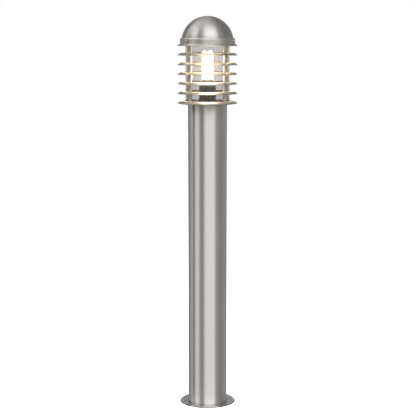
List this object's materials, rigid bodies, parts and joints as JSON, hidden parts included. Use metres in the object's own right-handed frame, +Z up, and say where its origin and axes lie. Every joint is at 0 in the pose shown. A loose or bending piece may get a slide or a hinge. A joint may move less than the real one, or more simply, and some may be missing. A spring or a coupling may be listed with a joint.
{
  "type": "bollard light",
  "caption": "Steel post light with a louvred head: plug-in lamp behind a clear cylinder, tie rods and sleeves, lift-off domed cap and internal gear tray.",
  "frame": {"origin": "centre of the base plate's underside, on the ground", "axes": "+Z up along the post, -Y towards the front, +X to the right seen from the front"},
  "size_m": [0.152, 0.152, 1],
  "materials": {
    "stainless": "satin",
    "fixings": "satin",
    "clear": "clear",
    "rubber": "matt",
    "black_plastic": "matt",
    "lamp_plastic": "semi-gloss",
    "lamp_glass": "phosphor coated",
    "brass": "plain",
    "galvanised": "zinc plated",
    "gear_case": "satin",
    "ceramic": "matt",
    "brown_wire": "semi-gloss",
    "white_wire": "semi-gloss",
    "earth_wire": "semi-gloss"
  },
  "bodies": {
    "post": {"base_plate": "stainless", "cable_grommet": "rubber", "post_tube": "stainless", "post_lock_screws": "fixings", "head_base": "stainless", "head_lock_screws": "fixings", "lower_gasket": "rubber", "diffuser": "clear", "upper_gasket": "rubber", "louvre_1": "stainless", "louvre_2": "stainless", "louvre_3": "stainless", "louvre_4": "stainless", "louvre_5": "stainless", "louvre_6": "stainless", "foot_spacers": "fixings", "louvre_spacers": "fixings", "tie_rods": "fixings", "tie_rod_washers": "fixings", "tie_rod_nuts": "fixings", "top_ring": "stainless", "lamp_holder": "black_plastic", "holder_contacts": "brass", "holder_screws": "fixings", "gear_tray": "galvanised", "gear_tray_screws": "fixings", "control_gear": "gear_case", "control_gear_screws": "fixings", "terminal_block": "ceramic", "terminal_screws": "brass", "terminal_fixing_screws": "fixings", "gear_leads": "brown_wire", "lamp_leads": "white_wire", "earth_lead": "earth_wire", "earth_lug": "brass", "earth_screw": "fixings"},
    "lamp": {"lamp_base": "lamp_plastic", "lamp_tubes": "lamp_glass", "lamp_pins": "brass"},
    "cap": {"cap_dome": "stainless", "cap_collar": "stainless", "cap_seal": "rubber"},
    "cap_screw_1": {"cap_screw_1": "fixings"},
    "cap_screw_2": {"cap_screw_2": "fixings"},
    "cap_screw_3": {"cap_screw_3": "fixings"}
  },
  "joints": [
    {"name": "cap_lift", "type": "slide", "parent": "post", "child": "cap", "axis": [0, 0, 1], "range_m": [0, 0.12]},
    {"name": "lamp_pull", "type": "slide", "parent": "post", "child": "lamp", "axis": [0, 0, 1], "range_m": [0, 0.06]},
    {"name": "cap_screw_1_out", "type": "slide", "parent": "cap", "child": "cap_screw_1", "axis": [-0.7826, -0.6225, 0], "range_m": [0, 0.004]},
    {"name": "cap_screw_2_out", "type": "slide", "parent": "cap", "child": "cap_screw_2", "axis": [0.9304, -0.3665, 0], "range_m": [0, 0.004]},
    {"name": "cap_screw_3_out", "type": "slide", "parent": "cap", "child": "cap_screw_3", "axis": [-0.1478, 0.989, 0], "range_m": [0, 0.004]}
  ]
}
